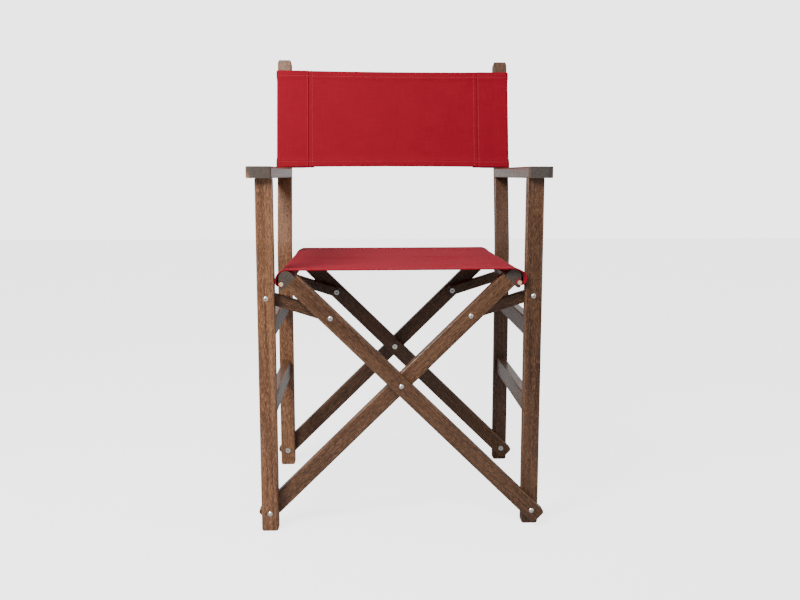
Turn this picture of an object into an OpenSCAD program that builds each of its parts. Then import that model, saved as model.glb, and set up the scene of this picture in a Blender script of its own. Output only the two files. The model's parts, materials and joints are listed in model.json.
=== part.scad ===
// Folding director chair: two side frames joined by crossed legs, with a slung
// canvas seat and back. Millimetres, +X to the sitter's left as seen from the
// front, +Y to the rear, +Z up, origin on the floor under the middle of the chair.

/* [Frame] */
// Half the distance between the centres of the two side frames
half_span = 233; // [210:1:250]
// Distance from the front bars to the rear bars
leg_depth = 368; // [330:1:400]
// Height of the foot pivots above the floor
foot_z = 31; // [28:1:36]
// Height of the pivots where the legs cross
cross_z = 260; // [250:1:270]
// Height of the pivots that hold the short links to the posts
post_link_z = 416; // [405:1:420]
// Distance along a leg from the crossing to its link pivot
leg_link_r = 172.5; // [165:0.5:180]
// Distance along a leg from the crossing to its upper end
leg_top_r = 265; // [258:1:268]
// Length of a leg beyond its foot pivot
leg_toe = 19; // [17:1:22]

/* [Bars] */
// Width of the posts and legs
bar_w = 30; // [26:1:32]
// Thickness of every bar
bar_t = 19; // [16:0.5:20]
// Gap between two bars that turn against each other
layer_gap = 1; // [0.8:0.1:1.5]
// Radius on the long edges of the bars
edge_r = 2.5; // [1:0.5:4]
// Width of the short links
link_w = 20; // [16:1:22]

/* [Posts] */
// Height of the front posts
front_post_h = 621; // [600:1:640]
// Height of the rear posts
rear_post_h = 870; // [840:5:900]
// Backward slope of the rear posts above the seat
rake = 11.5; // [8:0.5:14]
// Height where the rear posts start to bend
bend_z = 445; // [440:1:460]
// Radius of the bend in the rear posts
bend_r = 200; // [150:10:260]
// Radius at the top corners of the rear posts
post_top_r = 8; // [4:1:12]
// Radius at the bottom corners of the posts
post_foot_r = 5; // [2:1:8]

/* [Side rails] */
// Height of a side rail's section
rail_h = 34; // [28:1:40]
// Thickness of a side rail
rail_t = 18; // [14:1:22]
// Height of the lower side rail's middle
lower_rail_z = 214; // [200:1:230]
// Height of the upper side rail's middle
upper_rail_z = 356; // [340:1:370]

/* [Armrests] */
// Width of an armrest
arm_w = 44; // [40:1:50]
// Thickness of an armrest
arm_t = 20; // [18:1:24]
// Overhang of an armrest in front of its post
arm_front = 12; // [6:1:20]

/* [Seat rails] */
// Length of a seat rail, from the front legs' front faces back past the rear legs
seat_rail_l = 467; // [387:1:480]
// Radius of the rounded top of a seat rail
seat_rail_r = 12.3; // [11:0.1:13]
// Diameter of the dowel that locks the canvas in its groove
dowel_d = 7.6; // [6:0.2:8]
// Width of the groove's mouth
groove_w = 4; // [3.4:0.2:5]

/* [Canvas] */
// Thickness of the seat canvas at its hems
seat_t = 2.4; // [1.2:0.2:3]
// Thickness of the back canvas
back_t = 1.6; // [1.2:0.2:2.4]
// Height of the back canvas, measured along the posts
back_h = 208; // [180:1:220]
// Distance of the back canvas's seams from the middle
back_seam_x = 182; // [165:1:190]

/* [Fasteners] */
// Diameter of the bolts
bolt_d = 6; // [5:0.5:6.5]
// Diameter of the bolt heads
head_d = 9; // [9:0.5:12]
// Diameter of the sleeve nuts' flanges
flange_d = 11.5; // [10:0.5:13]
// Outer diameter of the sleeve nuts' barrels
sleeve_d = 8; // [7.5:0.1:8.4]
// Diameter of the washers between two bars
washer_d = 14; // [12:1:16]

/* [Hidden] */
$fn = 48;
fit = 0.1;            // added to a bore's diameter where the piece is fixed
play = 0.7;           // added to a bore's diameter where the piece turns
run_gap = 0.4;        // space between a flat face and the bar that turns on it
cloth_gap = 0.3;      // space between canvas and wood
over = 1;             // how far a cutter reaches past the solid
pitch = bar_t + layer_gap;
stack_t = 2 * bar_t + layer_gap;
washer_t = layer_gap - run_gap;
head_h = 2.2;
flange_h = 1.6;
sleeve_l = 17;
shank_l = stack_t - 5;
nut_hole_d = 4.2;
socket_d = 4.2;
socket_h = 1.2;
tenon_l = 12;
tenon_t = 8;
tenon_h = 24;
arm_dowel_d = 8;
arm_dowel_l = 37;
arm_dowel_up = 12;
screw_d = 4;
screw_head_d = 8.5;
screw_head_h = 3;
screw_l = 34;

leg_angle = atan2(cross_z - foot_z, half_span);
foot_to_cross = norm([half_span, cross_z - foot_z]);
leg_link_at = foot_to_cross + leg_link_r;
leg_top_at = foot_to_cross + leg_top_r;
leg_link_x = leg_link_r * cos(leg_angle);
leg_link_z = cross_z + leg_link_r * sin(leg_angle);
link_dx = leg_link_x - half_span;
link_dz = leg_link_z - post_link_z;
link_l = norm([link_dx, link_dz]);

// The straight upper part of a rear post, in the raked frame
rake_lift = (bend_r + bar_t / 2) * sin(rake);
rake_set = (bend_r + bar_t / 2) * (1 - cos(rake));
raked_l = (rear_post_h - bend_z - rake_lift) / cos(rake);
arm_top = front_post_h + arm_t;
arm_mid_l = (front_post_h + arm_t / 2 - bend_z - rake_lift) / cos(rake);
arm_mid_y = leg_depth + rake_set + arm_mid_l * sin(rake);
arm_tongue = 22;
post_top_y = leg_depth + rake_set + raked_l * sin(rake) + bar_t * cos(rake);

// The front and rear ends of the whole chair, before it is centred
y_front = -arm_front;
y_rear = pitch + post_top_y;
y_shift = -(y_front + y_rear) / 2;

// A seat rail's section: u across the leg and outward, v along the leg
rail_arc_c = [2.5, 10.5];
rail_toe_c = [19.3, 4.2];
rail_toe_r = 4.2;
rail_heel_r = 1.5;
rail_lean = atan2(rail_toe_c[1] - rail_arc_c[1], rail_toe_c[0] - rail_arc_c[0])
          + acos((seat_rail_r - rail_toe_r) / norm(rail_toe_c - rail_arc_c));
groove_c = [15.5, 9];
groove_lean = 8;
groove_d = dowel_d + 2.8;
rail_top_z = cross_z + leg_top_r * sin(leg_angle)
           - rail_arc_c[0] * cos(leg_angle) + rail_arc_c[1] * sin(leg_angle) + seat_rail_r;
rail_top_x = leg_top_r * cos(leg_angle)
           + rail_arc_c[0] * sin(leg_angle) + rail_arc_c[1] * cos(leg_angle);
seat_tenon_u = [-8, 3];
seat_tenon_l = 14;
seat_tenon_t = 11;
seat_inset = 2;
seat_skew = 10;
seat_turn = rail_lean + leg_angle - 90;
seat_drop = 12;

// The back canvas
back_top_l = (847 - bend_z - rake_lift) / cos(rake);
back_wrap = cloth_gap + back_t;
seam_gap = 0.4;

lacquer = [0.44, 0.29, 0.22];
red_canvas = [0.72, 0.16, 0.24];
nickel = [0.78, 0.77, 0.74];
cream_wood = [0.88, 0.80, 0.62];
nylon = [0.90, 0.89, 0.86];

// ---- placing ----

// side 1 is the right half; side -1 is its mirror image, one layer further forward
module on_side(side) {
    translate([0, y_shift + (side > 0 ? pitch : 0), 0])
        if (side > 0) children();
        else mirror([1, 0, 0]) children();
}

// From the foot pivot on the other side, +X runs up the leg
module leg_frame() {
    translate([-half_span, 0, foot_z]) rotate([0, -leg_angle, 0]) children();
}

// From the upper end of the leg, X is u and Y is v of the seat rail's section
module seat_rail_frame() {
    leg_frame() translate([leg_top_at, 0, 0])
        multmatrix([[0, 1, 0, 0], [0, 0, 1, 0], [-1, 0, 0, 0], [0, 0, 0, 1]]) children();
}

// The upper part of a rear post: Y = 0 is its front face, +Z runs up the post
module rake_frame() {
    translate([0, leg_depth + bend_r + bar_t / 2, bend_z]) rotate([-rake, 0, 0])
        translate([0, -(bend_r + bar_t / 2), 0]) children();
}

// A pivot through two bars that starts at y; a rear one has its nut in front
module pivot(x, z, y, rear) {
    translate([x, y, z])
        if (rear) translate([0, stack_t, 0]) mirror([0, 1, 0]) children();
        else children();
}

module along_y() {
    rotate([-90, 0, 0]) children();
}

// ---- shapes ----

module rounded_rect(w, h, r) {
    square([w - 2 * r, h], center = true);
    square([w, h - 2 * r], center = true);
    for (x = [-1, 1], y = [-1, 1])
        translate([x * (w / 2 - r), y * (h / 2 - r)]) circle(r);
}

// A bar from z = 0 to z = h with all its long edges rounded
module bar_blank(h) {
    translate([0, bar_t / 2, 0]) linear_extrude(h) rounded_rect(bar_w, bar_t, edge_r);
}

// An outline in X and Z, made as thick as a bar
module as_slab() {
    translate([0, bar_t + over, 0]) rotate([90, 0, 0]) linear_extrude(bar_t + 2 * over) children();
}

// A strip from z = 0 to z = h with its own corner radius at each end
module strip(h, foot_r, top_r) {
    translate([-bar_w / 2, foot_r]) square([bar_w, h - foot_r - top_r]);
    translate([-bar_w / 2 + foot_r, 0]) square([bar_w - 2 * foot_r, h]);
    translate([-bar_w / 2 + top_r, foot_r]) square([bar_w - 2 * top_r, h - foot_r]);
    for (x = [-1, 1]) {
        translate([x * (bar_w / 2 - foot_r), foot_r]) circle(foot_r);
        translate([x * (bar_w / 2 - top_r), h - top_r]) circle(top_r);
    }
}

module bore(x, z, d) {
    translate([x, -over, z]) along_y() cylinder(d = d, h = bar_t + 2 * over);
}

function arc(c, r, from, to, n = 10) =
    [for (i = [0:n]) c + r * [cos(from + (to - from) * i / n), sin(from + (to - from) * i / n)]];

// ---- posts ----

module side_rail_mortises(y) {
    for (z = [lower_rail_z, upper_rail_z])
        translate([-(tenon_t + fit) / 2, y, z - (tenon_h + fit) / 2])
            cube([tenon_t + fit, tenon_l + fit + over, tenon_h + fit]);
}

module front_post(side) {
    foot_bore = side < 0 ? bolt_d : sleeve_d;
    on_side(side) translate([half_span, 0, 0]) difference() {
        intersection() {
            bar_blank(front_post_h);
            as_slab() strip(front_post_h, post_foot_r, edge_r);
        }
        bore(0, foot_z, foot_bore + fit);
        bore(0, post_link_z, bolt_d + fit);
        side_rail_mortises(bar_t - tenon_l - fit);
        translate([0, bar_t / 2, front_post_h - arm_dowel_l + arm_dowel_up - fit])
            cylinder(d = arm_dowel_d + fit, h = arm_dowel_l);
    }
}

module rear_post_blank() {
    translate([0, leg_depth, 0]) intersection() {
        bar_blank(bend_z);
        as_slab() strip(bend_z + 2 * post_foot_r, post_foot_r, post_foot_r);
    }
    translate([0, leg_depth + bend_r + bar_t / 2, bend_z]) rotate([90, 0, -90])
        rotate_extrude(angle = rake, $fn = 120) translate([bend_r, 0]) rounded_rect(bar_t, bar_w, edge_r);
    rake_frame() intersection() {
        bar_blank(raked_l);
        translate([0, 0, -post_top_r]) as_slab() strip(raked_l + post_top_r, edge_r, post_top_r);
    }
}

module rear_post(side) {
    foot_bore = side < 0 ? sleeve_d : bolt_d;
    on_side(side) translate([half_span, 0, 0]) difference() {
        rear_post_blank();
        translate([0, leg_depth, 0]) {
            bore(0, foot_z, foot_bore + fit);
            bore(0, post_link_z, bolt_d + fit);
            side_rail_mortises(-over);
        }
        arm_screw_hole();
    }
}

module side_rail(side, z) {
    on_side(side) translate([half_span, bar_t, z]) union() {
        translate([0, leg_depth - bar_t, 0]) rotate([90, 0, 0])
            linear_extrude(leg_depth - bar_t) rounded_rect(rail_t, rail_h, edge_r);
        translate([-tenon_t / 2, -tenon_l, -tenon_h / 2])
            cube([tenon_t, leg_depth - bar_t + 2 * tenon_l, tenon_h]);
    }
}

// ---- armrests ----

module arm_outline() {
    back = arm_mid_y + arm_tongue;
    inner = half_span - bar_w / 2;
    outer = inner + arm_w;
    polygon(concat(
        arc([inner + 4, y_front + 4], 4, 180, 270),
        arc([outer - 12, y_front + 12], 12, 270, 360),
        arc([outer - 6, back - 6], 6, 0, 90),
        [[inner, back]]
    ));
}

module arm_screw_hole() {
    rake_frame() translate([bar_w / 2 + arm_w - bar_w + over, bar_t / 2, arm_mid_l])
        rotate([0, -90, 0]) cylinder(d = screw_d + fit, h = screw_l + over + fit);
}

module armrest(side) {
    inner = half_span - bar_w / 2;
    on_side(side) difference() {
        intersection() {
            translate([0, 0, front_post_h]) linear_extrude(arm_t) arm_outline();
            translate([inner + arm_w / 2, 2 * leg_depth, front_post_h + arm_t / 2]) rotate([90, 0, 0])
                linear_extrude(3 * leg_depth) rounded_rect(arm_w, arm_t, edge_r);
        }
        translate([half_span, 0, 0]) {
            rake_frame() translate([-bar_w, -fit, 0]) cube([bar_w * 1.5 + fit, 4 * bar_t, raked_l]);
            arm_screw_hole();
            rake_frame() translate([bar_w / 2 + arm_w - bar_w + fit, bar_t / 2, arm_mid_l])
                rotate([0, -90, 0])
                    cylinder(d1 = screw_head_d + 2 * fit, d2 = screw_d + fit, h = screw_head_h + fit);
        }
        translate([half_span, bar_t / 2, front_post_h - over])
            cylinder(d = arm_dowel_d + fit, h = arm_dowel_up + fit + over);
    }
}

module arm_dowel(side) {
    on_side(side) translate([half_span, bar_t / 2, front_post_h - arm_dowel_l + arm_dowel_up])
        cylinder(d = arm_dowel_d, h = arm_dowel_l);
}

module arm_screw(side) {
    on_side(side) translate([half_span, 0, 0]) rake_frame()
        translate([bar_w / 2 + arm_w - bar_w, bar_t / 2, arm_mid_l]) rotate([0, -90, 0]) difference() {
            union() {
                cylinder(d1 = screw_head_d, d2 = screw_d, h = screw_head_h);
                cylinder(d = screw_d, h = screw_l);
            }
            translate([0, 0, -over]) cylinder(d = screw_d * 0.7, h = over + socket_h, $fn = 6);
        }
}

// ---- crossed legs ----

module leg(side, y, foot_bore, cross_bore) {
    toe_r = 6;
    on_side(side) translate([0, y, 0]) leg_frame() difference() {
        union() {
            intersection() {
                translate([-leg_toe, 0, 0]) rotate([0, 90, 0]) bar_blank(leg_top_at + leg_toe);
                translate([-leg_toe, 0, 0]) rotate([0, 90, 0])
                    as_slab() strip(leg_top_at + leg_toe, toe_r, edge_r / 5);
            }
            translate([leg_top_at - over, (bar_t - seat_tenon_t) / 2, -seat_tenon_u[1]])
                cube([seat_tenon_l + over, seat_tenon_t, seat_tenon_u[1] - seat_tenon_u[0]]);
        }
        bore(0, 0, foot_bore);
        bore(foot_to_cross, 0, cross_bore);
        bore(leg_link_at, 0, bolt_d + fit);
    }
}

// Flat against the leg's end, round on top, with a toe below the groove
module rail_outline() {
    heel = [rail_arc_c[0] - seat_rail_r + rail_heel_r, rail_heel_r];
    polygon(concat(
        arc(rail_arc_c, seat_rail_r, 180, rail_lean, 24),
        arc(rail_toe_c, rail_toe_r, rail_lean, -90),
        arc(heel, rail_heel_r, -90, -180, 4)
    ));
}

// The round groove and its mouth, which leaves on the rail's outer side
module groove_outline(d, w) {
    translate(groove_c) circle(d / 2);
    translate(groove_c) rotate(groove_lean) translate([0, -w / 2]) square([14, w]);
}

module seat_rail(side) {
    on_side(side) difference() {
        seat_rail_frame() linear_extrude(seat_rail_l) difference() {
            rail_outline();
            groove_outline(groove_d, groove_w);
        }
        for (y = [0, leg_depth])
            translate([0, y, 0]) leg_frame()
                translate([leg_top_at - over, (bar_t - seat_tenon_t - fit) / 2, -seat_tenon_u[1] - fit / 2])
                    cube([
                        seat_tenon_l + over + fit, seat_tenon_t + fit,
                        seat_tenon_u[1] - seat_tenon_u[0] + fit
                    ]);
    }
}

// Its front end shows at the canvas's front edge, which on the right lies in front of the rail
module seat_dowel(side) {
    front = side > 0 ? over + seat_skew - pitch : over;
    on_side(side) seat_rail_frame() translate([groove_c[0], groove_c[1], front])
        cylinder(d = dowel_d, h = seat_rail_l - over - front);
}

// ---- short links ----

module link(side, y) {
    slope = atan2(link_dz, link_dx);
    on_side(side) translate([half_span, y, post_link_z]) rotate([0, -slope, 0]) difference() {
        intersection() {
            translate([-link_w / 2, bar_t / 2, 0]) rotate([0, 90, 0])
                linear_extrude(link_l + link_w) rounded_rect(link_w, bar_t, edge_r);
            as_slab() {
                circle(link_w / 2);
                translate([link_l, 0]) circle(link_w / 2);
                translate([0, -link_w / 2]) square([link_l, link_w]);
            }
        }
        bore(0, 0, sleeve_d + play);
        bore(link_l, 0, sleeve_d + fit);
    }
}

// ---- fasteners ----

// A bolt along +Y with its head in front of y = 0
module bolt(head_gap, end) {
    cap_r = (head_d * head_d / 4 + head_h * head_h) / (2 * head_h);
    along_y() difference() {
        union() {
            intersection() {
                translate([0, 0, -head_gap - head_h + cap_r]) sphere(cap_r);
                translate([0, 0, -head_gap - head_h]) cylinder(d = head_d, h = head_h);
            }
            translate([0, 0, -head_gap - over / 2]) cylinder(d = bolt_d, h = end + head_gap + over / 2);
        }
        translate([0, 0, -head_gap - head_h - over]) cylinder(d = socket_d, h = socket_h + over, $fn = 6);
    }
}

// A sleeve nut that takes the bolt's end, with its flange behind the second bar
module nut(flange_gap) {
    along_y() difference() {
        union() {
            translate([0, 0, stack_t - sleeve_l])
                cylinder(d = sleeve_d, h = sleeve_l + flange_gap + flange_h / 2);
            translate([0, 0, stack_t + flange_gap])
                cylinder(d1 = flange_d, d2 = flange_d - 1, h = flange_h);
        }
        translate([0, 0, stack_t - sleeve_l - over])
            cylinder(d = bolt_d + fit, h = shank_l - stack_t + sleeve_l + 2 * over);
        translate([0, 0, shank_l]) cylinder(d = nut_hole_d, h = stack_t);
    }
}

// A washer that rests on the front bar, or on the rear bar
module washer(on_front) {
    along_y() translate([0, 0, bar_t + (on_front ? 0 : run_gap)]) difference() {
        cylinder(d = washer_d, h = washer_t);
        translate([0, 0, -over]) cylinder(d = bolt_d + play, h = washer_t + 2 * over);
    }
}

// The foot pivot runs through the post and the other side's leg
module at_foot(side, rear) {
    y = (side > 0 ? -pitch : 0) + (rear ? leg_depth : 0);
    on_side(side) pivot(half_span, foot_z, y, rear) children();
}

module at_post_link(side, rear) {
    on_side(side) pivot(half_span, post_link_z, rear ? leg_depth - pitch : 0, rear) children();
}

module at_leg_link(side, rear) {
    on_side(side) pivot(leg_link_x, leg_link_z, rear ? leg_depth - pitch : 0, rear) children();
}

module at_cross(rear) {
    on_side(-1) pivot(0, cross_z, rear ? leg_depth : 0, rear) children();
}

// True where the post is the bar under the bolt's head
function head_on_post(side, rear) = (side < 0) != rear;

module post_bolts(side) {
    for (rear = [false, true]) {
        at_foot(side, rear) bolt(head_on_post(side, rear) ? 0 : run_gap, shank_l);
        at_post_link(side, rear) bolt(0, shank_l);
    }
}

module post_nuts(side) {
    for (rear = [false, true]) {
        at_foot(side, rear) nut(head_on_post(side, rear) ? run_gap : 0);
        at_post_link(side, rear) nut(run_gap);
    }
}

module post_washers(side) {
    for (rear = [false, true]) {
        at_foot(side, rear) washer(head_on_post(side, rear));
        at_post_link(side, rear) washer(true);
    }
}

module cross_bolts() {
    at_cross(false) bolt(0, shank_l);
    at_cross(true) bolt(run_gap, shank_l);
}

module cross_nuts() {
    at_cross(false) nut(run_gap);
    at_cross(true) nut(0);
}

module cross_washers() {
    at_cross(false) washer(true);
    at_cross(true) washer(false);
}

module link_screws(side) {
    for (rear = [false, true]) at_leg_link(side, rear) bolt(0, bar_t - run_gap);
}

module link_washers(side) {
    for (rear = [false, true]) at_leg_link(side, rear) washer(true);
}

module link_nuts(side) {
    for (rear = [false, true]) at_leg_link(side, rear) nut(0);
}

// ---- canvas ----

// One face of the right half of the seat canvas, r from the middle of the rail's
// round top: over the rail and straight down to the groove's mouth
function seat_face(r) = concat(
    arc([rail_top_x, rail_top_z - seat_rail_r], r, 90, seat_turn, 16),
    [[rail_top_x, rail_top_z - seat_rail_r] + r * [cos(seat_turn), sin(seat_turn)]
        + seat_drop * [sin(seat_turn), -cos(seat_turn)]]
);

function mirrored(points) = [for (p = points) [-p[0], p[1]]];

function reversed(points) = [for (i = [len(points) - 1:-1:0]) points[i]];

module seat_section() {
    upper = seat_face(seat_rail_r + cloth_gap + seat_t);
    lower = seat_face(seat_rail_r + cloth_gap);
    polygon(concat(reversed(mirrored(upper)), upper, reversed(lower), mirrored(lower)));
}

// The right seat rail lies a layer behind the left one, and the canvas is laid
// askew by about half of that
module seat_plan() {
    x = half_span;
    y0 = seat_inset;
    y1 = seat_rail_l - seat_inset;
    polygon([[-x, y0], [x, y0 + seat_skew], [x, y1 + seat_skew], [-x, y1]]);
}

module seat_sling() {
    translate([0, y_shift, 0]) intersection() {
        translate([0, 2 * leg_depth, 0]) rotate([90, 0, 0]) linear_extrude(3 * leg_depth) seat_section();
        linear_extrude(rear_post_h) seat_plan();
    }
}

// Keeps the back canvas clear of the armrests and cuts it square to the posts
module back_band() {
    intersection() {
        rake_frame() translate([0, 0, back_top_l - back_h]) linear_extrude(back_h) children();
        translate([-2 * half_span, 0, arm_top + cloth_gap]) cube([4 * half_span, 3 * leg_depth, rear_post_h]);
    }
}

module back_panel() {
    x = back_seam_x - seam_gap;
    lean = pitch / 2 / half_span * x;
    translate([0, y_shift, 0]) back_band()
        translate([0, pitch / 2 - back_wrap])
            polygon([[-x, -lean], [x, lean], [x, lean + back_t], [-x, back_t - lean]]);
}

module back_sleeve(side) {
    inner = half_span - bar_w / 2;
    outer = half_span + bar_w / 2;
    lean = side * pitch / 2 / half_span * (half_span - back_seam_x);
    // the sleeve's front sheet meets the panel at the seam
    front = -back_wrap;
    on_side(side) back_band() difference() {
        polygon([
            [back_seam_x, front - lean], [inner, front], [outer + back_wrap, front],
            [outer + back_wrap, bar_t + back_wrap], [inner - back_wrap, bar_t + back_wrap],
            [back_seam_x, front - lean + 2 * back_t]
        ]);
        polygon([
            [inner - back_wrap, -cloth_gap], [outer + cloth_gap, -cloth_gap],
            [outer + cloth_gap, bar_t + cloth_gap], [inner - cloth_gap, bar_t + cloth_gap]
        ]);
    }
}

color(lacquer) front_post(-1);  // left_front_post
color(lacquer) rear_post(-1);  // left_rear_post
color(lacquer) side_rail(-1, upper_rail_z);  // left_upper_side_rail
color(lacquer) side_rail(-1, lower_rail_z);  // left_lower_side_rail
color(lacquer) armrest(-1);  // left_armrest
color(cream_wood) arm_dowel(-1);  // left_arm_dowel
color(nickel) arm_screw(-1);  // left_arm_screw
color(lacquer) front_post(1);  // right_front_post
color(lacquer) rear_post(1);  // right_rear_post
color(lacquer) side_rail(1, upper_rail_z);  // right_upper_side_rail
color(lacquer) side_rail(1, lower_rail_z);  // right_lower_side_rail
color(lacquer) armrest(1);  // right_armrest
color(cream_wood) arm_dowel(1);  // right_arm_dowel
color(nickel) arm_screw(1);  // right_arm_screw
color(lacquer) leg(-1, 0, bolt_d + play, bolt_d + fit);  // left_rail_front_leg
color(lacquer) leg(-1, leg_depth, sleeve_d + play, sleeve_d + fit);  // left_rail_rear_leg
color(lacquer) seat_rail(-1);  // left_seat_rail
color(cream_wood) seat_dowel(-1);  // left_seat_dowel
color(lacquer) leg(1, 0, sleeve_d + play, sleeve_d + play);  // right_rail_front_leg
color(lacquer) leg(1, leg_depth, bolt_d + play, bolt_d + play);  // right_rail_rear_leg
color(lacquer) seat_rail(1);  // right_seat_rail
color(cream_wood) seat_dowel(1);  // right_seat_dowel
color(lacquer) link(-1, pitch);  // left_front_link
color(lacquer) link(-1, leg_depth - pitch);  // left_rear_link
color(lacquer) link(1, pitch);  // right_front_link
color(lacquer) link(1, leg_depth - pitch);  // right_rear_link
color(nickel) post_bolts(-1);  // left_post_bolts
color(nickel) post_nuts(-1);  // left_post_nuts
color(nylon) post_washers(-1);  // left_post_washers
color(nickel) post_bolts(1);  // right_post_bolts
color(nickel) post_nuts(1);  // right_post_nuts
color(nylon) post_washers(1);  // right_post_washers
color(nickel) cross_bolts();
color(nickel) cross_nuts();
color(nylon) cross_washers();
color(nickel) link_screws(-1);  // left_link_screws
color(nylon) link_washers(-1);  // left_link_washers
color(nickel) link_nuts(-1);  // left_link_nuts
color(nickel) link_screws(1);  // right_link_screws
color(nylon) link_washers(1);  // right_link_washers
color(nickel) link_nuts(1);  // right_link_nuts
color(red_canvas) seat_sling();
color(red_canvas) back_panel();
color(red_canvas) back_sleeve(-1);  // left_back_sleeve
color(red_canvas) back_sleeve(1);  // right_back_sleeve
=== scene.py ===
import json
import math
import random

import bpy
import numpy as np
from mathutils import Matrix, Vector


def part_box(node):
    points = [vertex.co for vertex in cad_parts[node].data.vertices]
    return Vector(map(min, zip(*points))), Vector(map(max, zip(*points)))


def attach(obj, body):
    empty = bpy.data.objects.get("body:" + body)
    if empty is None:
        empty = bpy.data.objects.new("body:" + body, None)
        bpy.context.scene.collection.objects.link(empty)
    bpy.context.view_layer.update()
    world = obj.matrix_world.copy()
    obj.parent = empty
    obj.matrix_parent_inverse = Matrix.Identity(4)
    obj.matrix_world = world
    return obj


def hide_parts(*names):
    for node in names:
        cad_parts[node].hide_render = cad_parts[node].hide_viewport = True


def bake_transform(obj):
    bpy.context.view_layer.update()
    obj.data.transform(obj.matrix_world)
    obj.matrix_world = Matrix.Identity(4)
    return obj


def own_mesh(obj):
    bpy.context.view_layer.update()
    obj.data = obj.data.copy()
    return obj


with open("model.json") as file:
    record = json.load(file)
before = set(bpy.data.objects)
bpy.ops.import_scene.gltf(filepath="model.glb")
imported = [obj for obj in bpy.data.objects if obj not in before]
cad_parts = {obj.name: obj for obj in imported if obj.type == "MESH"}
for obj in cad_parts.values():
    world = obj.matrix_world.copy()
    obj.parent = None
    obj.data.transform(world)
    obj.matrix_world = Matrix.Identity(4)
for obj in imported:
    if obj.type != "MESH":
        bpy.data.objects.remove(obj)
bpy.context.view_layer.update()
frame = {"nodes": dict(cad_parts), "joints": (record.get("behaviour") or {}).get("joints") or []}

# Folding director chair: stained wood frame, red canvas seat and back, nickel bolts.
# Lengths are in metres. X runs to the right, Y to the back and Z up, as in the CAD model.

MM = 0.001

# ---- the chair's own sizes, as in the CAD model ----

JOINTS = {joint["name"]: joint for joint in frame["joints"]}
HALF_SPAN = JOINTS["right_foot_pivot"]["pos_m"][0]
FOOT_Z = JOINTS["fold"]["pos_m"][2]
CROSS_Z = JOINTS["leg_crossing"]["pos_m"][2]
FRONT_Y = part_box("left_front_post")[0][1]
REAR_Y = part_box("left_rear_post")[0][1]
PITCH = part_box("right_front_post")[0][1] - FRONT_Y
ARM_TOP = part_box("left_armrest")[1][2]
BAR_W = 30 * MM
BAR_T = 19 * MM
LEG_ANGLE = math.atan2(CROSS_Z - FOOT_Z, HALF_SPAN)
LEG_TOP_R = 265 * MM
RAKE = math.radians(11.5)
BEND_Z = 445 * MM
BEND_R = 200 * MM + BAR_T / 2

# ---- the cloth and its sewing ----

CLOTH_T = 1.2 * MM
CLOTH_GAP = 0.3 * MM    # between the cloth and the wood it lies on
CLOTH_MID = CLOTH_GAP + CLOTH_T / 2
HEM_COLUMNS = 9         # grid columns in a hem's turned part and its fold
HEM_MARGIN = 28 * MM    # from this distance on, the cloth lies plain
HEM_STITCH = 11 * MM
STITCH_STEP = 4.2 * MM
STITCH_L = 3.1 * MM
THREAD_R = 0.34 * MM


def smooth(low, high, x):
    t = np.clip((np.asarray(x, float) - low) / (high - low), 0, 1)
    return t * t * (3 - 2 * t)


# ---- meshes ----

def mesh_object(name, points, faces, material):
    mesh = bpy.data.meshes.new(name)
    mesh.from_pydata([tuple(p) for p in points], [], faces)
    mesh.update()
    mesh.polygons.foreach_set("use_smooth", [True] * len(mesh.polygons))
    obj = bpy.data.objects.new(name, mesh)
    bpy.context.collection.objects.link(obj)
    mesh.materials.append(material)
    return obj


def grid_normals(grid):
    along = np.gradient(grid, axis=0)
    across = np.gradient(grid, axis=1)
    normal = np.cross(along, across)
    return normal / np.maximum(np.linalg.norm(normal, axis=2, keepdims=True), 1e-12)


def cloth_object(name, grid, threads, material):
    """A closed sheet round the middle surface grid; threads is each point's place on the flat cloth."""
    rows, cols = grid.shape[:2]
    normal = grid_normals(grid) * CLOTH_T / 2
    points = np.concatenate([(grid + normal).reshape(-1, 3), (grid - normal).reshape(-1, 3)])
    under = rows * cols
    faces = []
    for i in range(rows - 1):
        for a in range(i * cols, (i + 1) * cols - 1):
            b, c, d = a + 1, a + cols + 1, a + cols
            faces.append((a, d, c, b))
            faces.append((a + under, b + under, c + under, d + under))
    rim = list(range(cols))
    rim += [i * cols + cols - 1 for i in range(1, rows)]
    rim += [(rows - 1) * cols + j for j in range(cols - 2, -1, -1)]
    rim += [i * cols for i in range(rows - 2, 0, -1)]
    for a, b in zip(rim, rim[1:] + rim[:1]):
        faces.append((a, b, b + under, a + under))
    obj = mesh_object(name, points, faces, material)
    place = obj.data.attributes.new("thread_place", "FLOAT_VECTOR", "POINT")
    flat = np.zeros((2 * under, 3), np.float32)
    flat[:, :2] = np.tile(threads.reshape(-1, 2), (2, 1))
    place.data.foreach_set("vector", flat.ravel())
    return obj


def run_length(path):
    return np.concatenate([[0], np.cumsum(np.linalg.norm(np.diff(path, axis=0), axis=1))])


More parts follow.
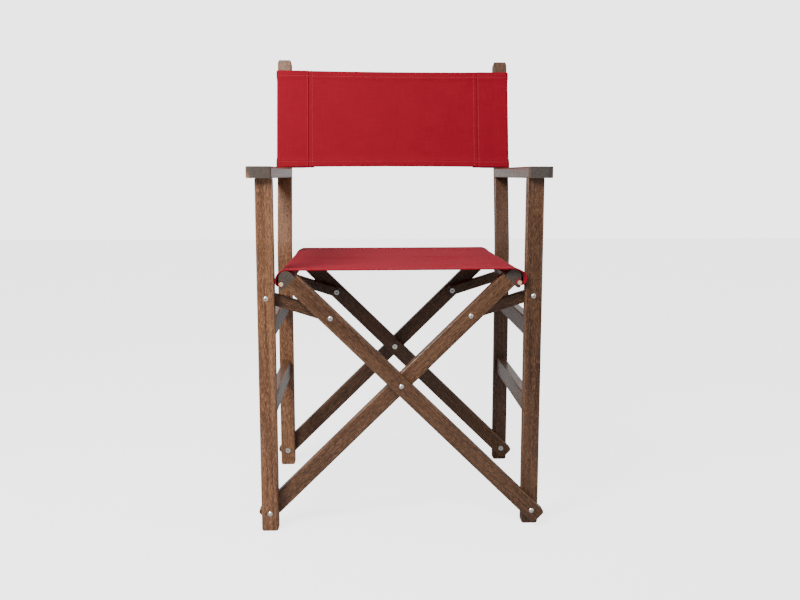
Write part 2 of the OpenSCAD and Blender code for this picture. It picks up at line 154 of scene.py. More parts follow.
def stitch_object(name, lines, material):
    """Sewing thread: each line is (points, normals), and gets short raised stitches along it."""
    sides = 6
    # (place along the stitch, share of the full radius)
    rings = [(-0.5, 0.25), (-0.3, 0.9), (0.3, 0.9), (0.5, 0.25)]
    points, faces = [], []
    for path, normals in lines:
        path, normals = np.asarray(path), np.asarray(normals)
        run = run_length(path)
        for at in np.arange(STITCH_STEP / 2, run[-1], STITCH_STEP):
            def here(d):
                return np.array([np.interp(d, run, path[:, k]) for k in range(3)])
            way = here(at + STITCH_L / 2) - here(at - STITCH_L / 2)
            if np.linalg.norm(way) < STITCH_L / 2:
                continue
            way /= np.linalg.norm(way)
            up = np.array([np.interp(at, run, normals[:, k]) for k in range(3)])
            up -= way * (up @ way)
            up /= np.linalg.norm(up)
            side = np.cross(way, up)
            middle = here(at) + up * THREAD_R * 0.35
            base = len(points)
            for along, size in rings:
                for k in range(sides):
                    a = 2 * math.pi * k / sides
                    points.append(middle + way * along * STITCH_L
                                  + (up * math.sin(a) * 0.8 + side * math.cos(a)) * THREAD_R * size)
            for r in range(len(rings) - 1):
                for k in range(sides):
                    n = (k + 1) % sides
                    faces.append((base + r * sides + k, base + r * sides + n,
                                  base + (r + 1) * sides + n, base + (r + 1) * sides + k))
            faces.append(tuple(base + k for k in range(sides))[::-1])
            faces.append(tuple(base + (len(rings) - 1) * sides + k for k in range(sides)))
    return mesh_object(name, points, faces, material)


def resample(path, spacing):
    """A smooth curve through the points, with points at about even spacing."""
    path = np.asarray(path, float)
    dense = []
    padded = np.vstack([2 * path[0] - path[1], path, 2 * path[-1] - path[-2]])
    for i in range(1, len(padded) - 2):
        p0, p1, p2, p3 = padded[i - 1:i + 3]
        for t in np.linspace(0, 1, 9)[:-1]:
            dense.append(0.5 * (2 * p1 + (p2 - p0) * t + (2 * p0 - 5 * p1 + 4 * p2 - p3) * t * t
                                + (3 * p1 - p0 - 3 * p2 + p3) * t ** 3))
    dense.append(path[-1])
    dense = np.array(dense)
    run = run_length(dense)
    at = np.linspace(0, run[-1], max(2, int(round(run[-1] / spacing)) + 1))
    return np.stack([np.interp(at, run, dense[:, k]) for k in range(path.shape[1])], axis=1)


def hem_profile(depth, inner_step):
    """The cut across a cloth with a turned hem at each edge, as (distance from the edge line, lift),
    and each point's distance along the cloth. The turned part lies underneath, at lift 0."""
    lift = CLOTH_T + 0.1 * MM
    # millimetres from the edge, share of the lift: the turned part, the fold, then the face
    shape = [(13, 0), (9, 0), (5, 0), (2, 0), (0.8, 0.02), (0.15, 0.22), (0, 0.5), (0.15, 0.78),
             (0.8, 0.98), (2, 1), (5, 1), (8.5, 1), (10, 0.93), (11, 0.72), (12, 0.9), (13.5, 0.93),
             (16, 0.6), (19, 0.2), (23, 0.02)]
    edge = [(into * MM, up * lift) for into, up in shape]
    count = int((depth - 2 * HEM_MARGIN) / inner_step)
    middle = [(y, 0) for y in np.linspace(HEM_MARGIN, depth - HEM_MARGIN, count)]
    profile = edge + middle + [(depth - y, up) for y, up in reversed(edge)]
    return np.array(profile), run_length(np.array(profile))


def flat_places(run, cloth_run):
    """Each grid point's place on the cloth laid flat."""
    places = np.zeros((len(run), len(cloth_run), 2))
    places[..., 0] = run[:, None]
    places[..., 1] = cloth_run[None, :]
    return places


def outer_face(grid, sign):
    """The cloth's surface on one side, and its normals there."""
    face = grid_normals(grid) * sign
    return grid + face * CLOTH_T / 2, face


def row_lines(grid, rows, sign):
    """Stitch lines along grid rows, from hem to hem."""
    surface, face = outer_face(grid, sign)
    keep = slice(HEM_COLUMNS, grid.shape[1] - HEM_COLUMNS)
    return [(surface[i, keep], face[i, keep]) for i in rows]


def hem_lines(grid, profile, depth, sign, rows=slice(None)):
    """Stitch lines along both hems, on the columns where the hem still lies high."""
    surface, face = outer_face(grid, sign)
    lines = []
    for target in (HEM_STITCH, depth - HEM_STITCH):
        j = max(range(len(profile)), key=lambda k: profile[k][1] - abs(profile[k][0] - target) / MM)
        lines.append((surface[rows, j], face[rows, j]))
    return lines


# ---- materials ----

class Nodes:
    """A short way to build a material's node tree."""

    def __init__(self, name):
        self.material = bpy.data.materials.new(name)
        self.material.use_nodes = True
        self.tree = self.material.node_tree
        self.shader = self.tree.nodes["Principled BSDF"]

    def add(self, kind, inputs=None, **values):
        node = self.tree.nodes.new("ShaderNode" + kind)
        for key, value in values.items():
            setattr(node, key, value)
        for key, value in (inputs or {}).items():
            self.link(value, node.inputs[key])
        return node

    def link(self, value, socket):
        if isinstance(value, bpy.types.NodeSocket):
            self.tree.links.new(value, socket)
        else:
            socket.default_value = value

    def math(self, operation, a, b=0.0):
        return self.add("Math", {0: a, 1: b}, operation=operation).outputs[0]

    def ramp(self, value, stops):
        node = self.add("ValToRGB", {0: value})
        elements = node.color_ramp.elements
        while len(elements) < len(stops):
            elements.new(0.5)
        for element, (at, colour) in zip(elements, stops):
            element.position = at
            element.color = (*colour, 1) if isinstance(colour, tuple) else (colour, colour, colour, 1)
        return node.outputs[0]

    def mix(self, factor, a, b):
        node = self.add("Mix", data_type="RGBA")
        for socket, value in ((0, factor), (6, a), (7, b)):
            if isinstance(value, tuple):
                value = (*value, 1)
            self.link(value, node.inputs[socket])
        return node.outputs[2]

    def noise(self, vector, scale, detail=2.0, roughness=0.5, distortion=0.0):
        return self.add("TexNoise", {"Vector": vector, "Scale": scale, "Detail": detail,
                                     "Roughness": roughness, "Distortion": distortion}).outputs[0]

    def mapped(self, vector, rotation=(0, 0, 0), scale=(1, 1, 1), location=(0, 0, 0)):
        return self.add("Mapping", {"Vector": vector, "Rotation": rotation, "Scale": scale,
                                    "Location": location}).outputs[0]

    def bump(self, height, strength, distance):
        return self.add("Bump", {"Height": height, "Strength": strength, "Distance": distance}).outputs[0]


def wood(name, turn, place, gloss, dark, mid, light):
    """Stained open-grained wood under lacquer. turn brings the bar's grain onto Z."""
    n = Nodes(name)
    here = n.add("TexCoord")
    along = n.mapped(n.mapped(here.outputs["Object"], rotation=turn), location=place)
    facing = n.mapped(here.outputs["Normal"], rotation=turn)
    streaks = n.noise(n.mapped(along, scale=(300, 300, 7)), 1.0, 5, 0.65, 0.4)
    bands = n.noise(n.mapped(along, scale=(38, 38, 2.2)), 1.0, 3, 0.5, 0.9)
    pores = n.noise(n.mapped(along, scale=(1300, 1300, 110)), 1.0, 2, 0.6)
    fleck = n.noise(n.mapped(along, scale=(900, 900, 150)), 1.0, 3, 0.7)
    blotch = n.noise(n.mapped(along, scale=(24, 24, 9)), 1.0, 2, 0.5)
    tone = n.math("ADD", n.math("MULTIPLY", streaks, 0.6), n.math("MULTIPLY", bands, 0.4))
    colour = n.ramp(tone, [(0.36, dark), (0.5, mid), (0.68, light)])
    colour = n.mix(n.ramp(blotch, [(0.35, 0.0), (0.7, 0.3)]), colour, tuple(c * 0.5 for c in dark))
    fleck_mask = n.ramp(fleck, [(0.5, 0.0), (0.68, 0.75)])
    colour = n.mix(fleck_mask, colour, tuple(min(1, c * 1.5) for c in light))
    pore_mask = n.ramp(pores, [(0.36, 0.8), (0.5, 0.0)])
    colour = n.mix(pore_mask, colour, tuple(c * 0.3 for c in dark))
    # end grain: the faces that look along the bar are darker and greyer
    face = n.add("SeparateXYZ", {0: facing})
    ends = n.ramp(n.math("ABSOLUTE", face.outputs[2]), [(0.6, 0.0), (0.8, 0.85)])
    rings = n.noise(n.mapped(along, scale=(900, 900, 900)), 1.0, 2)
    end_grain = n.ramp(rings, [(0.35, (0.030, 0.024, 0.020)), (0.65, (0.10, 0.086, 0.074))])
    colour = n.mix(ends, colour, end_grain)
    # the rounded long edges are painted paler in patches: a painted highlight where light catches the
    # rounding
    flat = n.math("MAXIMUM", n.math("ABSOLUTE", face.outputs[0]), n.math("ABSOLUTE", face.outputs[1]))
    flat = n.math("MAXIMUM", flat, n.math("ABSOLUTE", face.outputs[2]))
    edge_highlight_patches = n.noise(n.mapped(along, scale=(60, 60, 14)), 1.0, 3)
    corner = n.ramp(flat, [(0.78, 1.0), (0.97, 0.0)])
    edge_highlight = n.math("MULTIPLY", corner, n.ramp(edge_highlight_patches, [(0.42, 0.0), (0.62, 0.7)]))
    colour = n.mix(edge_highlight, colour, tuple(c * 1.5 for c in light))
    n.link(colour, n.shader.inputs["Base Color"])
    rough = n.math("ADD", n.math("MULTIPLY", streaks, 0.22), n.math("MULTIPLY", pore_mask, 0.3))
    n.link(n.math("ADD", rough, 0.26), n.shader.inputs["Roughness"])
    relief = n.math("SUBTRACT", n.math("MULTIPLY", streaks, 0.5), pore_mask)
    n.link(n.bump(relief, 0.35, 0.25 * MM), n.shader.inputs["Normal"])
    n.shader.inputs["Coat Weight"].default_value = gloss
    n.shader.inputs["Coat Roughness"].default_value = 0.2
    n.shader.inputs["Specular IOR Level"].default_value = 0.35
    return n.material


def canvas():
    """Plain-woven cotton duck: slubs, a little fading, and painted shade that darkens the hollows between
    the threads.
    """
    n = Nodes("red_canvas")
    place = n.add("Attribute", attribute_name="thread_place").outputs["Vector"]
    wander = n.noise(n.mapped(place, scale=(90, 90, 90)), 1.0, 2)
    split = n.add("SeparateXYZ", {0: place})
    thread_pitch = 1.15 * MM
    per_metre = 2 * math.pi / thread_pitch
    drift = n.math("MULTIPLY", wander, 2.0)
    warp = n.math("SINE", n.math("ADD", n.math("MULTIPLY", split.outputs[0], per_metre), drift))
    weft = n.math("SINE", n.math("ADD", n.math("MULTIPLY", split.outputs[1], per_metre), drift))
    weave = n.math("ADD", n.math("MULTIPLY", n.math("MULTIPLY", warp, weft), 0.5), 0.5)
    slub_warp = n.noise(n.mapped(place, scale=(1100, 26, 1)), 1.0, 2, 0.6)
    slub_weft = n.noise(n.mapped(place, scale=(26, 1100, 1)), 1.0, 2, 0.6)
    slubs = n.math("MULTIPLY", n.math("ADD", slub_warp, slub_weft), 0.5)
    faded = n.noise(n.mapped(place, scale=(14, 14, 14)), 1.0, 3, 0.55)
    reds = [(0.3, (0.24, 0.003, 0.012)), (0.5, (0.29, 0.005, 0.017)), (0.7, (0.34, 0.008, 0.024))]
    colour = n.ramp(slubs, reds)
    colour = n.mix(n.ramp(faded, [(0.4, 0.0), (0.7, 0.12)]), colour, (0.42, 0.012, 0.024))
    # painted shade: where the weave is low, between the threads, the red is darkened
    colour = n.mix(n.ramp(weave, [(0.0, 0.45), (0.45, 0.0)]), colour, (0.16, 0.003, 0.007))
    n.link(colour, n.shader.inputs["Base Color"])
    height = n.math("ADD", n.math("MULTIPLY", weave, 0.6), n.math("MULTIPLY", slubs, 0.5))
    n.link(n.bump(height, 0.55, 0.22 * MM), n.shader.inputs["Normal"])
    n.shader.inputs["Roughness"].default_value = 0.82
    n.shader.inputs["Sheen Weight"].default_value = 0.10
    n.shader.inputs["Sheen Roughness"].default_value = 0.4
    n.shader.inputs["Sheen Tint"].default_value = (1.0, 0.62, 0.66, 1)
    n.shader.inputs["Specular IOR Level"].default_value = 0.12
    return n.material


def thread():
    n = Nodes("red_thread")
    here = n.add("TexCoord").outputs["Object"]
    ply = n.noise(here, 2400, 1)
    colour = n.ramp(ply, [(0.4, (0.34, 0.012, 0.02)), (0.6, (0.62, 0.05, 0.07))])
    n.link(colour, n.shader.inputs["Base Color"])
    n.link(n.bump(ply, 0.4, 0.1 * MM), n.shader.inputs["Normal"])
    n.shader.inputs["Roughness"].default_value = 0.6
    n.shader.inputs["Sheen Weight"].default_value = 0.2
    return n.material


def nickel():
    n = Nodes("nickel_plate")
    here = n.add("TexCoord").outputs["Object"]
    cloud = n.noise(here, 260, 3)
    scratch = n.noise(n.mapped(here, scale=(2600, 300, 2600)), 1.0, 2)
    colour = n.ramp(cloud, [(0.35, (0.62, 0.61, 0.58)), (0.65, (0.86, 0.85, 0.82))])
    n.link(colour, n.shader.inputs["Base Color"])
    n.link(n.math("ADD", n.math("MULTIPLY", scratch, 0.2), 0.1), n.shader.inputs["Roughness"])
    n.link(n.bump(scratch, 0.12, 0.05 * MM), n.shader.inputs["Normal"])
    n.shader.inputs["Metallic"].default_value = 1.0
    return n.material


def bare_dowel():
    n = Nodes("bare_dowel")
    here = n.add("TexCoord").outputs["Object"]
    grain = n.noise(n.mapped(here, scale=(900, 30, 900)), 1.0, 3)
    colour = n.ramp(grain, [(0.35, (0.62, 0.44, 0.24)), (0.65, (0.80, 0.64, 0.40))])
    n.link(colour, n.shader.inputs["Base Color"])
    n.link(n.bump(grain, 0.2, 0.1 * MM), n.shader.inputs["Normal"])
    n.shader.inputs["Roughness"].default_value = 0.6
    return n.material


def washer_nylon():
    n = Nodes("washer_nylon")
    here = n.add("TexCoord").outputs["Object"]
    cloud = n.noise(here, 180, 2)
    colour = n.ramp(cloud, [(0.4, (0.66, 0.64, 0.58)), (0.6, (0.78, 0.76, 0.71))])
    n.link(colour, n.shader.inputs["Base Color"])
    n.link(n.math("ADD", n.math("MULTIPLY", cloud, 0.15), 0.35), n.shader.inputs["Roughness"])
    n.shader.inputs["Subsurface Weight"].default_value = 0.05
    return n.material


# ---- the wood and metal of the frame ----

UPRIGHT = (0, 0, 0)
ALONG_Y = (math.pi / 2, 0, 0)
UP_RIGHT = (0, LEG_ANGLE - math.pi / 2, 0)
UP_LEFT = (0, math.pi / 2 - LEG_ANGLE, 0)
LINK_TILT = math.radians(17.7)
LINK_LEFT = (0, -LINK_TILT - math.pi / 2, 0)
LINK_RIGHT = (0, LINK_TILT - math.pi / 2, 0)
SOFT_EDGE = 0.7 * MM
SAME_POINT = 1e-6
RAIL_GLOSS = 0.55       # lacquer on rails and armrests
BAR_GLOSS = 0.18        # and on posts, legs and links
# the stain's dark, middle and light tone
STAIN = ((0.070, 0.024, 0.009), (0.165, 0.069, 0.030), (0.285, 0.142, 0.072))
# node, way its grain runs, how light its wood is painted: mostly painted light and shade (lighter on the
# left, where the key lamp falls, darker on the right, at the back and under the seat), with a little tone
# of its own
WOODS = [
    ("left_front_post", UPRIGHT, 1.32),
    ("left_rear_post", UPRIGHT, 1.25),
    ("right_front_post", UPRIGHT, 0.72),
    ("right_rear_post", UPRIGHT, 0.6),
    ("left_upper_side_rail", ALONG_Y, 0.85),
    ("left_lower_side_rail", ALONG_Y, 0.75),
    ("right_upper_side_rail", ALONG_Y, 0.9),
    ("right_lower_side_rail", ALONG_Y, 0.8),
    ("left_armrest", ALONG_Y, 0.95),
    ("right_armrest", ALONG_Y, 0.5),
    ("left_seat_rail", ALONG_Y, 0.8),
    ("right_seat_rail", ALONG_Y, 0.6),
    ("left_rail_front_leg", UP_LEFT, 0.7),
    ("left_rail_rear_leg", UP_LEFT, 0.6),
    ("right_rail_front_leg", UP_RIGHT, 0.8),
    ("right_rail_rear_leg", UP_RIGHT, 0.65),
    ("left_front_link", LINK_LEFT, 0.7),
    ("left_rear_link", LINK_LEFT, 0.45),
    ("right_front_link", LINK_RIGHT, 0.6),
    ("right_rear_link", LINK_RIGHT, 0.45),
]


def dress(node, material):
    for slot in frame["nodes"][node].material_slots:
        slot.material = material


def soften(node):
    """A small rounding on the edges that the CAD model leaves sharp."""
    obj = frame["nodes"][node]
    weld = obj.modifiers.new("weld", "WELD")
    weld.merge_threshold = SAME_POINT
    bevel = obj.modifiers.new("bevel", "BEVEL")
    bevel.width = SOFT_EDGE
    bevel.segments = 2
    bevel.limit_method = "ANGLE"
    bevel.angle_limit = math.radians(50)
    bevel.harden_normals = True


metal = nickel()
nylon = washer_nylon()
pale = bare_dowel()
red = canvas()
red_thread = thread()
for node in frame["nodes"]:
    if node.endswith(("bolts", "nuts", "screws", "screw")):
        dress(node, metal)
    elif node.endswith("washers"):
        dress(node, nylon)
    elif node.endswith("dowel"):
        dress(node, pale)
for index, (node, turn, light) in enumerate(WOODS):
    # painted light and shade: the stain is made lighter or darker per bar, by how lit or shaded that bar
    # is
    lit_and_shaded_tones = [tuple(c * light for c in tone) for tone in STAIN]
    gloss = RAIL_GLOSS if turn == ALONG_Y else BAR_GLOSS
    # each bar is cut from its own place in the grain
    place = (0.37 * index, 0.11 * index, 0.53 * index)
    dress(node, wood(f"{node}_wood", turn, place, gloss, *lit_and_shaded_tones))
    if "link" not in node:
        soften(node)


# ---- the seat canvas ----

SEAT_SKEW = 10 * MM
SEAT_INSET = 2 * MM
RAIL_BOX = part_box("left_seat_rail")
SEAT_DEPTH = RAIL_BOX[1][1] - RAIL_BOX[0][1] - 2 * SEAT_INSET
RAIL_R = 12.3 * MM
LEG_TOP = (LEG_TOP_R * math.cos(LEG_ANGLE), CROSS_Z + LEG_TOP_R * math.sin(LEG_ANGLE))
DOWEL_R = 3.8 * MM
DOWEL_SLACK = 0.15 * MM
SEAT_SAG = 3.0 * MM
EDGE_SAG = 0.3 * MM


def from_rail(u, v):
    """A point of the right seat rail's section, u outward across the leg and v along it."""
    c, s = math.cos(LEG_ANGLE), math.sin(LEG_ANGLE)
    return np.array([LEG_TOP[0] + u * s + v * c, LEG_TOP[1] - u * c + v * s])


# the centres of the rail's round top and of its groove
RAIL_TOP = from_rail(2.5 * MM, 10.5 * MM)
DOWEL_AT = from_rail(15.5 * MM, 9 * MM)


def seat_half_path():
    """Middle of the cloth in X and Z: from the chair's middle over the right rail, down its outer
    side in a loose turn, into the groove and round the dowel."""
    over = RAIL_R + CLOTH_MID
    ring = DOWEL_R + DOWEL_SLACK + CLOTH_T / 2
    flat = [np.array((x, RAIL_TOP[1] + over)) for x in np.linspace(0, RAIL_TOP[0] - 4 * MM, 30)]
    bend = [RAIL_TOP + over * np.array([math.sin(a), math.cos(a)]) for a in np.radians([0, 12, 24, 36])]
    hook = [RAIL_TOP + MM * np.array(p) for p in
            ((12.0, 7.4), (15.2, 2.6), (16.9, -2.8), (16.9, -8.2), (15.3, -12.2), (12.9, -13.7))]
    turns = np.radians(np.arange(-66, -368, -18))
    loop = [DOWEL_AT + ring * np.array([math.cos(a), math.sin(a)]) for a in turns]
    return resample(flat + bend, 7 * MM), resample(bend[-1:] + hook + loop, 1.3 * MM)


def seat_path():
    """The whole cut from dowel to dowel, and the normals along it."""
    flat, turn = seat_half_path()
    half = np.vstack([flat, turn[1:]])
    left = half[::-1][:-1] * np.array([-1, 1])
    path = np.vstack([left, half])
    tangent = np.gradient(path, axis=0)
    tangent /= np.linalg.norm(tangent, axis=1, keepdims=True)
    return path, np.stack([-tangent[:, 1], tangent[:, 0]], axis=1)


def seat_creases():
    """Soft creases in each half: x and y of the middle, length in x, width in y, height and lean."""
    draw = random.Random(7)
    creases = []
    for side in (-1, 1):
        for k in range(11):
            x = side * draw.uniform(60, 180) * MM
            y = draw.uniform(14, 110) * MM if k % 3 else draw.uniform(120, 420) * MM
            length, width, height = draw.uniform(30, 80), draw.uniform(3.5, 8), draw.uniform(-1.9, 1.6)
            creases.append((x, y, length * MM, width * MM, height * MM, draw.uniform(-0.1, 0.1)))
    return creases


def seat_grid(path, normal, profile, end_run):
    """The cloth's middle surface: tight from rail to rail, sagging and creased a little between."""
    x, z = path[:, 0], path[:, 1]
    # the hem has no room to lift in the groove; on the right the front edge flares at the turn
    free = smooth(22 * MM, 34 * MM, end_run)
    hooked = np.exp(-((end_run - 42 * MM) / (11 * MM)) ** 2)
    flat_share = np.clip(1 - (x / RAIL_TOP[0]) ** 2, 0, 1)
    skew = SEAT_SKEW * (x + RAIL_TOP[0]) / (2 * RAIL_TOP[0])
    on_top = smooth(0, 12 * MM, RAIL_TOP[0] - np.abs(x)) * (z > RAIL_TOP[1])
    creases = seat_creases()
    grid = np.zeros((len(path), len(profile), 3))
    for j, (into, lift) in enumerate(profile):
        edge = min(into, SEAT_DEPTH - into)
        up = lift * (0.12 + 0.88 * free)
        flare = 3.2 * MM * hooked * (x > 0) * (1 - smooth(2 * MM, 9 * MM, into))
        sag = flat_share * (EDGE_SAG + SEAT_SAG * smooth(0, 120 * MM, edge))
        crease = np.zeros(len(path))
        for at_x, at_y, length, width, height, lean in creases:
            centre = at_y + lean * (x - at_x)
            crease += height * np.exp(-((x - at_x) / length) ** 2 - ((into - centre) / width) ** 2)
        grid[:, j, 0] = x + normal[:, 0] * up + flare
        grid[:, j, 1] = FRONT_Y + SEAT_INSET + np.clip(skew, 0, SEAT_SKEW) + into
        grid[:, j, 2] = z + normal[:, 1] * up - sag + crease * on_top
    return grid


def make_seat():
    path, normal = seat_path()
    run = run_length(path)
    end_run = np.minimum(run, run[-1] - run)
    profile, cloth_run = hem_profile(SEAT_DEPTH, 3.6 * MM)
    grid = seat_grid(path, normal, profile, end_run)
    seat = cloth_object("seat_canvas", grid, flat_places(run, cloth_run), red)

    sign = np.sign(grid_normals(grid)[len(path) // 2, len(profile) // 2, 2])
    inner = np.flatnonzero(end_run > 24 * MM)
    lines = hem_lines(grid, profile, SEAT_DEPTH, sign, inner)
    rows = []
    for side in (-1, 1):
        for back in (30 * MM, 34 * MM):
            target = run[-1] / 2 + side * (run[-1] / 2 - back)
            rows.append(int(np.argmin(np.abs(run - target))))
    lines += row_lines(grid, rows, sign)
    stitches = stitch_object("seat_stitches", lines, red_thread)
    for piece in (seat, stitches):
        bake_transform(piece)
    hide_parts("seat_sling")


# ---- the back canvas ----

CANVAS_TOP_Z = 847 * MM
BACK_TOP = (CANVAS_TOP_Z - BEND_Z - BEND_R * math.sin(RAKE)) / math.cos(RAKE)
BACK_H = 208 * MM
SEAM_X = 182 * MM
TUCK_Y = 1.7 * MM       # how far behind the posts' front face the panel's tuck lies
TUCK_L = 31 * MM
INNER_X = HALF_SPAN - BAR_W / 2
OUTER_X = HALF_SPAN + BAR_W / 2


def raked(x, y, z):
    """From the plane of the rear posts' upper part, y behind their front face, to the chair's frame."""
    c, s = math.cos(RAKE), math.sin(RAKE)
    away = REAR_Y + BEND_R + (y - BEND_R) * c + z * s
    return np.stack([x, away, BEND_Z - (y - BEND_R) * s + z * c], axis=-1)


def post_skew(x):
    """The right posts stand a little behind the left ones, and the cloth follows."""
    return PITCH * np.clip((x + INNER_X) / (2 * INNER_X), 0, 1)


def back_grid(path, bow):
    """Extrudes a path (x, y) up the posts, with a hem at the bottom and the top edge."""
    tangent = np.gradient(path, axis=0)
    tangent /= np.linalg.norm(tangent, axis=1, keepdims=True)
    normal = np.stack([tangent[:, 1], -tangent[:, 0]], axis=1)
    profile, cloth_run = hem_profile(BACK_H, 12 * MM)
    grid = np.zeros((len(path), len(profile), 3))
    x = path[:, 0]
    middle = 1 - np.clip(np.abs(x) / INNER_X, 0, 1) ** 2
    for j, (into, lift) in enumerate(profile):
        edge_dip = bow * middle * (into / BACK_H * 2 - 1)
        up = BACK_TOP - BACK_H + into - edge_dip
        placed = raked(x + normal[:, 0] * lift, path[:, 1] + normal[:, 1] * lift, up)
        placed[:, 1] += post_skew(x)
        # the lower hem rests just clear of the armrests
        placed[:, 2] = np.maximum(placed[:, 2], ARM_TOP + CLOTH_T * 0.7)
        grid[:, j] = placed
    run = run_length(path)
    return grid, flat_places(run, cloth_run), profile, run


def facing_front(grid, row):
    """1 if the grid's normals look to the front at this row, else -1."""
    return 1 if grid_normals(grid)[row, grid.shape[1] // 2, 1] < 0 else -1


def nearest(path, rows, x):
    """The one of the rows whose distance from the chair's middle is nearest to x."""
    return min(rows, key=lambda i: abs(abs(path[i, 0]) - x))


def sleeve_path():
    """The right sleeve's cut: from the seam behind the panel, round the post, to the seam in front."""
    mid = CLOTH_MID
    sewn = TUCK_Y + CLOTH_T + 0.5 * MM
    rear = BAR_T + mid
    outer = OUTER_X + mid
    seam = [(SEAM_X - 11 * MM, sewn), (SEAM_X - 2 * MM, sewn), (SEAM_X + 4 * MM, sewn + 0.7 * MM)]
    slant = [(196 * MM, 8.6 * MM), (206 * MM, 14.0 * MM), (INNER_X - 1.5 * MM, rear - 2 * MM)]
    behind = [(INNER_X + 4 * MM, rear), (HALF_SPAN, rear + 0.15 * MM), (OUTER_X - 3 * MM, rear)]
    rear_turn = [(outer - 0.8 * MM, rear - 0.8 * MM), (outer, rear - 3 * MM)]
    outside = [(outer + 0.2 * MM, BAR_T / 2), (outer, 2 * MM)]
    front_turn = [(outer - 0.8 * MM, 0.8 * MM - mid), (OUTER_X - 3 * MM, -mid)]
    front = [(HALF_SPAN, -mid - 0.1 * MM), (INNER_X, -mid), (200 * MM, -mid)]
    end = [(SEAM_X + 8 * MM, -mid), (SEAM_X, -mid)]
    points = seam + slant + behind + rear_turn + outside + front_turn + front + end
    return resample(points, 2.2 * MM)


def make_sleeve(side, body):
    path = sleeve_path() * np.array([side, 1])
    if side > 0:
        path = path[::-1]
    grid, places, profile, run = back_grid(path, 0)
    name = "left" if side < 0 else "right"
    sleeve = cloth_object(f"{name}_sleeve_canvas", grid, places, red)
    # the row in front of the post tells which way the cloth's outer face looks
    front = [i for i in range(len(path)) if path[i, 1] < 0]
    behind = [i for i in range(len(path)) if BAR_T / 3 > path[i, 1] > 0]
    sign = facing_front(grid, nearest(path, front, HALF_SPAN))
    seams = [nearest(path, front, SEAM_X + 1.3 * MM)]
    seams += [nearest(path, behind, SEAM_X), nearest(path, behind, SEAM_X - 7 * MM)]
    lines = row_lines(grid, seams, sign) + hem_lines(grid, profile, BACK_H, sign)
    stitches = stitch_object(f"{name}_sleeve_stitches", lines, red_thread)
    for piece in (sleeve, stitches):
        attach(piece, body)
    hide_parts(f"{name}_back_sleeve")


def panel_path():
    """The middle panel's cut: flat between the seams, then stepped back and tucked under each sleeve."""
    mid = CLOTH_MID - 0.3 * MM
    flat = resample([(x, -mid) for x in np.linspace(0, SEAM_X - 3 * MM, 30)], 5 * MM)
    ease = [(SEAM_X - 3 * MM, -mid), (SEAM_X - 1.6 * MM, -mid + 0.05 * MM)]
    step = [(SEAM_X - 0.5 * MM, -mid + 0.7 * MM), (SEAM_X + 0.6 * MM, TUCK_Y - 0.3 * MM)]
    tuck = [(SEAM_X + 2.5 * MM, TUCK_Y), (SEAM_X + 8 * MM, TUCK_Y), (SEAM_X + TUCK_L, TUCK_Y)]
    right = np.vstack([flat, resample(ease + step + tuck, 0.8 * MM)[1:]])
    return np.vstack([right[::-1][:-1] * np.array([-1, 1]), right])


def make_back_panel():
    path = panel_path()
    grid, places, profile, run = back_grid(path, 1.6 * MM)
    panel = cloth_object("back_canvas", grid, places, red)
    sign = facing_front(grid, len(path) // 2)
    seams = [int(np.argmin(np.abs(path[:, 0] - side * (SEAM_X - 6.5 * MM)))) for side in (-1, 1)]
    lines = row_lines(grid, seams, sign) + hem_lines(grid, profile, BACK_H, sign)
    stitches = stitch_object("back_stitches", lines, red_thread)
    for piece in (panel, stitches):
        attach(piece, "left_frame")
        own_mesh(piece)
    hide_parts("back_panel")


make_seat()
make_sleeve(-1, "left_frame")
make_sleeve(1, "right_frame")
make_back_panel()


# ---- floor, light and camera ----

# The camera sees a bright sky, and a floor that glows to match it. What lights the chair is
# dim air, a little of the sky in its shine, and three lamps.
AIR_LIGHT = 0.2
SKY_LIGHT = 3.3
SKY_IN_SHINE = 0.16
FLOOR_GLOW = 2.75
WHITE = (1, 1, 1, 1)


def floor():
    bpy.ops.mesh.primitive_plane_add(size=14, location=(0, 0, 0))
    plane = bpy.context.object
    plane.name = "floor"
    n = Nodes("pale_floor")
    cloud = n.noise(n.add("TexCoord").outputs["Object"], 1.5, 2)
    n.link(n.ramp(cloud, [(0.3, 0.52), (0.7, 0.56)]), n.shader.inputs["Base Color"])
    n.shader.inputs["Roughness"].default_value = 0.9
    n.shader.inputs["Emission Color"].default_value = WHITE
    seen = n.add("LightPath").outputs["Is Camera Ray"]
    n.link(n.math("MULTIPLY", seen, FLOOR_GLOW), n.shader.inputs["Emission Strength"])
    plane.data.materials.append(n.material)


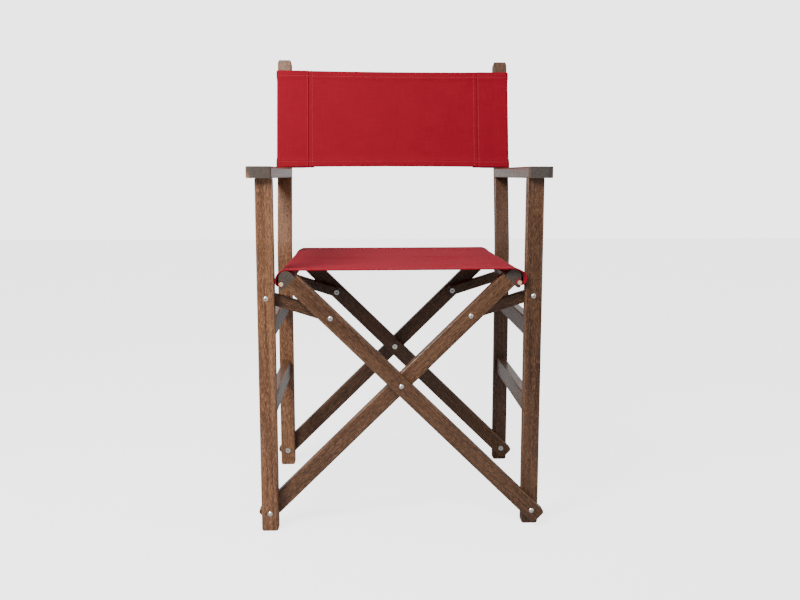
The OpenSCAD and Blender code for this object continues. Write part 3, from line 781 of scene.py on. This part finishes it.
def area_light(name, place, target, size, power):
    light = bpy.data.lights.new(name, "AREA")
    light.shape = "RECTANGLE"
    light.size = size
    light.size_y = size
    light.energy = power
    obj = bpy.data.objects.new(name, light)
    bpy.context.collection.objects.link(obj)
    obj.location = place
    way = np.array(target, float) - np.array(place, float)
    tilt = math.atan2(math.hypot(way[0], way[1]), -way[2])
    obj.rotation_euler = (tilt, 0, math.atan2(-way[0], way[1]))


def lights():
    world = bpy.data.worlds.new("studio")
    world.use_nodes = True
    tree = world.node_tree
    air = tree.nodes["Background"]
    sky = tree.nodes.new("ShaderNodeBackground")
    choose = tree.nodes.new("ShaderNodeMixShader")
    air.inputs[1].default_value = AIR_LIGHT
    sky.inputs[1].default_value = SKY_LIGHT
    for background in (air, sky):
        background.inputs[0].default_value = WHITE
    path = tree.nodes.new("ShaderNodeLightPath")
    shine = tree.nodes.new("ShaderNodeMath")
    shine.operation = "MULTIPLY_ADD"
    tree.links.new(path.outputs["Is Glossy Ray"], shine.inputs[0])
    shine.inputs[1].default_value = SKY_IN_SHINE
    tree.links.new(path.outputs["Is Camera Ray"], shine.inputs[2])
    tree.links.new(shine.outputs[0], choose.inputs[0])
    tree.links.new(air.outputs[0], choose.inputs[1])
    tree.links.new(sky.outputs[0], choose.inputs[2])
    tree.links.new(choose.outputs[0], tree.nodes["World Output"].inputs[0])
    bpy.context.scene.world = world
    area_light("key", (-0.9, -1.2, 1.7), (-0.1, 0, 0.55), 0.7, 50)
    area_light("fill", (1.8, -2.2, 1.7), (0, 0, 0.4), 1.4, 7)
    area_light("top", (0, 0.3, 2.4), (0, 0, 0.3), 2.2, 19)


def camera():
    """In front of the chair, just below the height of the armrests, looking slightly down."""
    data = bpy.data.cameras.new("camera")
    data.sensor_width = 36
    data.lens = 40.05
    obj = bpy.data.objects.new("camera", data)
    bpy.context.collection.objects.link(obj)
    pitch = 0.1396
    yaw = 0.0376
    obj.location = (-0.0597, FRONT_Y - 1.5166, 0.6264)
    obj.rotation_euler = (math.pi / 2 - pitch, 0, -yaw)
    bpy.context.scene.camera = obj


floor()
lights()
camera()
